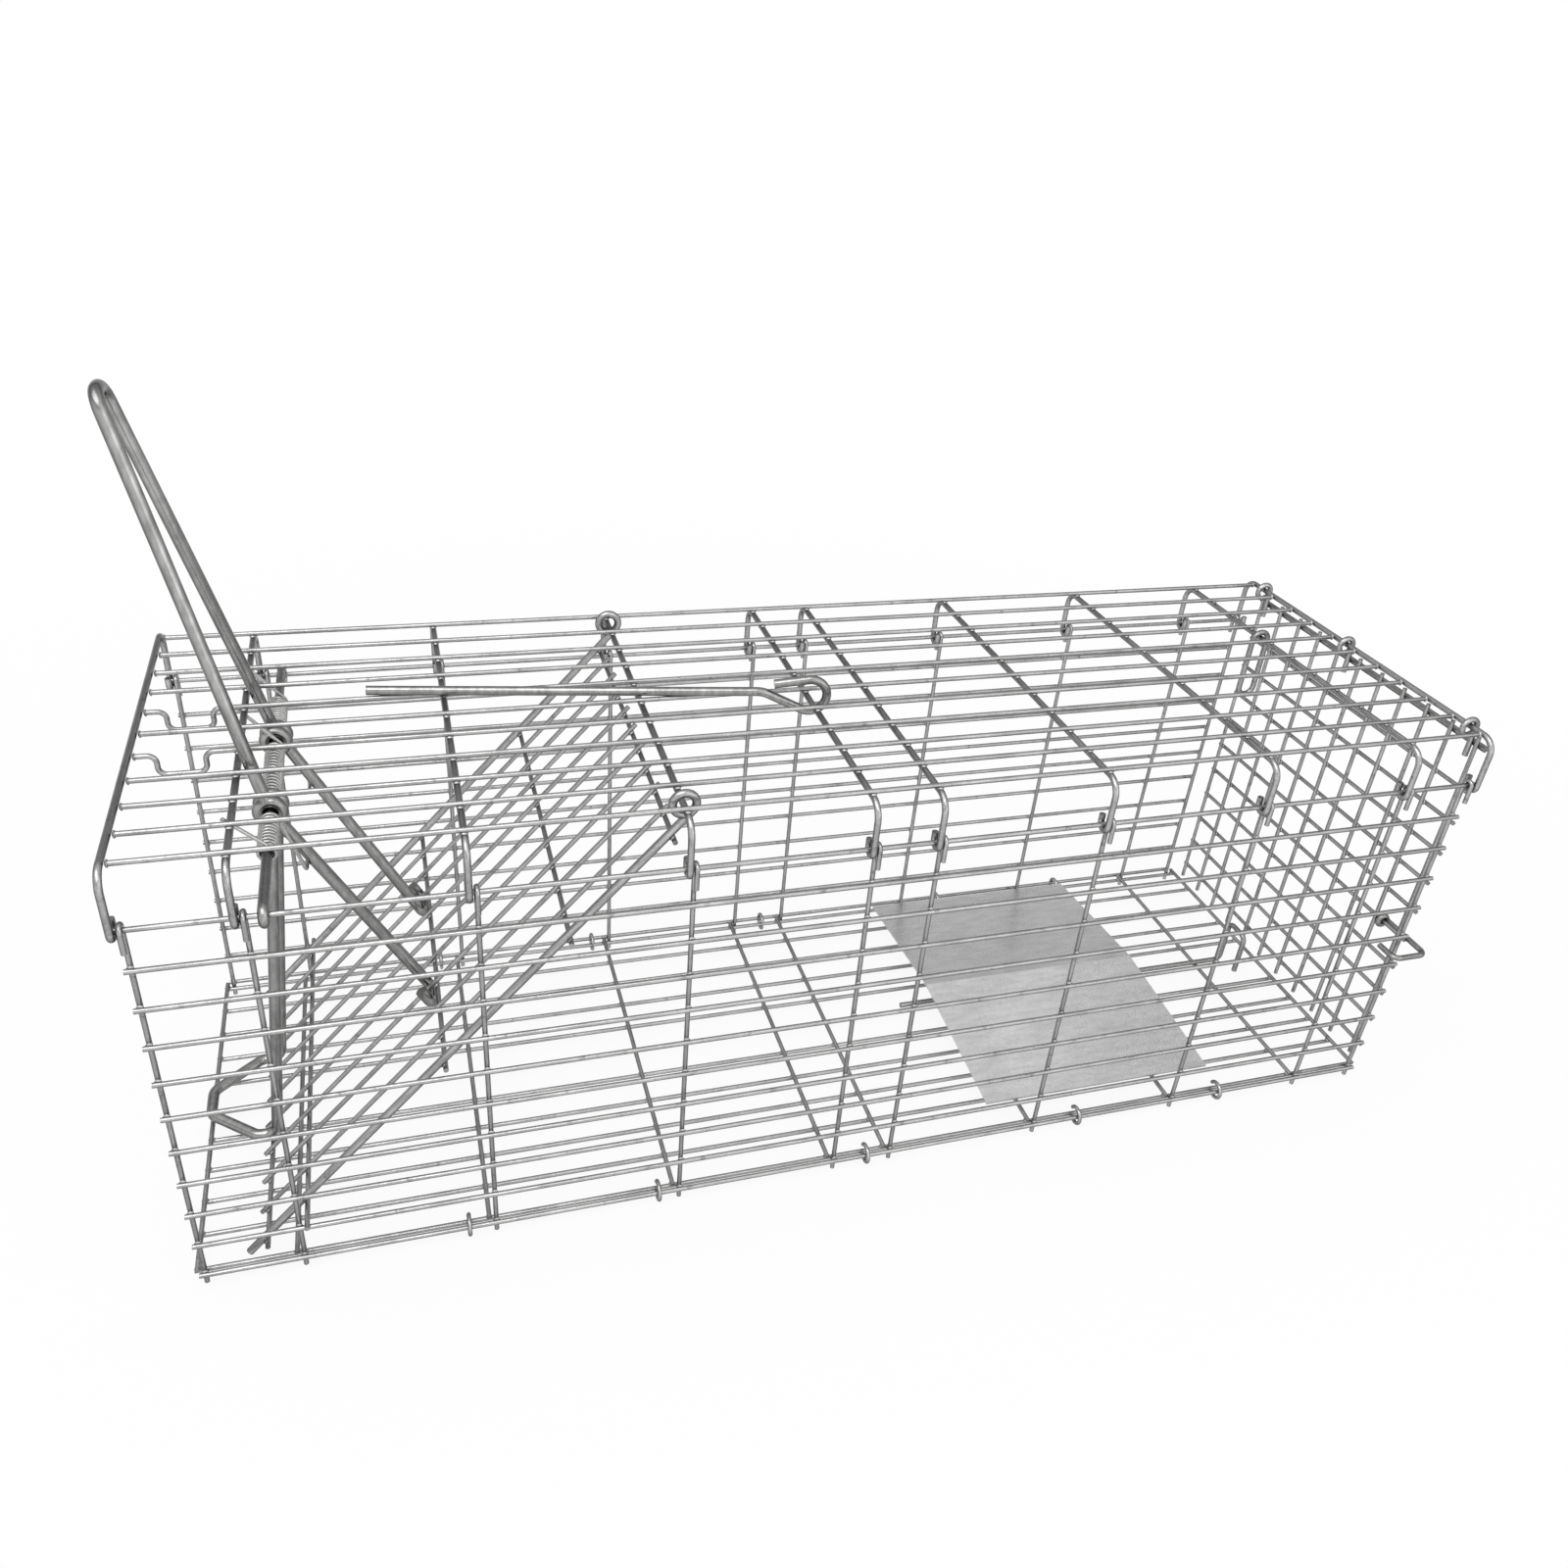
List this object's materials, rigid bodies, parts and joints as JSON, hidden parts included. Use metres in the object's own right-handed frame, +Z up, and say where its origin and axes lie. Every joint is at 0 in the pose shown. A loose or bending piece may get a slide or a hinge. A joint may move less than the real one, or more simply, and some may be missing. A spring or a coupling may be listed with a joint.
{
  "type": "live animal trap",
  "caption": "Wire cage live trap: lever-raised sloping entry door with a lock frame, treadle plate, trigger catch and a top-hinged rear door.",
  "frame": {"origin": "middle of the cage's footprint, on the floor it stands on", "axes": "+X from the entry towards the rear door, +Y towards the far side, +Z up"},
  "size_m": [0.6126, 0.2083, 0.3587],
  "materials": {
    "zinc_wire": "bright zinc-plated drawn wire",
    "zinc_bar": "zinc-plated drawn bar",
    "spring_steel": "zinc-plated spring wire",
    "zinc_sheet": "galvanised sheet",
    "zinc_clip": "zinc-plated ring wire"
  },
  "bodies": {
    "cage": {"top_long_wires": "zinc_wire", "top_dipped_wires": "zinc_wire", "top_cross_front": "zinc_wire", "door_hinge_wire": "zinc_wire", "rod_hinge_wire": "zinc_wire", "top_cross_rear": "zinc_wire", "catch_wire": "zinc_wire", "rear_hinge_wire": "zinc_wire", "side_long_near": "zinc_wire", "side_long_far": "zinc_wire", "side_uprights_near": "zinc_wire", "side_uprights_far": "zinc_wire", "bottom_long_wires": "zinc_wire", "bottom_cross_wires": "zinc_wire", "bottom_clips": "zinc_clip", "door_stop_wire": "zinc_wire", "lever_axle": "zinc_bar", "treadle_wire": "zinc_wire", "lever_spring_far": "spring_steel", "lever_spring_near": "spring_steel", "lock_spring": "spring_steel"},
    "entry_door": {"door_long_wires": "zinc_wire", "door_cross_wires": "zinc_wire", "door_side_wires": "zinc_wire"},
    "lever": {"lever_bar": "zinc_bar"},
    "lock": {"lock_frame": "zinc_bar"},
    "rod": {"hold_down_rod": "zinc_bar"},
    "catch": {"trigger_catch": "zinc_wire"},
    "treadle": {"treadle_plate": "zinc_sheet", "treadle_lugs": "zinc_sheet"},
    "rear_door": {"rear_door_columns": "zinc_wire", "rear_door_rows": "zinc_wire", "rear_door_bar": "zinc_wire", "rear_door_loops": "zinc_wire"},
    "latch": {"rear_latch": "zinc_wire"}
  },
  "joints": [
    {"name": "lever_pivot", "type": "hinge", "parent": "cage", "child": "lever", "pos_m": [-0.24916, 0, 0.19606], "axis": [0, 1, 0], "range_deg": [0, 78], "stiffness_Nm_per_rad": 0.6, "springref_deg": -34.38, "deforming": ["lever_spring_far", "lever_spring_near"]},
    {"name": "entry_door_hinge", "type": "hinge", "parent": "cage", "child": "entry_door", "pos_m": [-0.0912, 0, 0.21549], "axis": [0, 1, 0], "range_deg": [0, 28.6]},
    {"name": "lock_pivot", "type": "hinge", "parent": "cage", "child": "lock", "pos_m": [-0.24916, 0, 0.19606], "axis": [0, 1, 0], "range_deg": [0, 52.3], "deforming": ["lock_spring"]},
    {"name": "rod_hinge", "type": "hinge", "parent": "cage", "child": "rod", "pos_m": [-0.01324, 0, 0.21549], "axis": [0, 1, 0], "range_deg": [0, 158]},
    {"name": "catch_swing", "type": "hinge", "parent": "cage", "child": "catch", "pos_m": [0.25826, 0, 0.21549], "axis": [0, 1, 0], "range_deg": [-30, 80]},
    {"name": "treadle_rock", "type": "hinge", "parent": "cage", "child": "treadle", "pos_m": [0.14226, 0, 0.00992], "axis": [1, 0, 0], "range_deg": [-3.5, 3.5]},
    {"name": "rear_door_hinge", "type": "hinge", "parent": "cage", "child": "rear_door", "pos_m": [0.29955, 0, 0.218], "axis": [0, -1, 0], "range_deg": [0, 100]},
    {"name": "latch_slide", "type": "slide", "parent": "rear_door", "child": "latch", "axis": [0, -1, 0], "range_m": [0, 0.0094]}
  ],
  "couplings": [
    {"joint": "entry_door_hinge", "follows": "lever_pivot", "ratio": 0.366},
    {"joint": "lock_pivot", "follows": "lever_pivot", "ratio": 0.67}
  ]
}
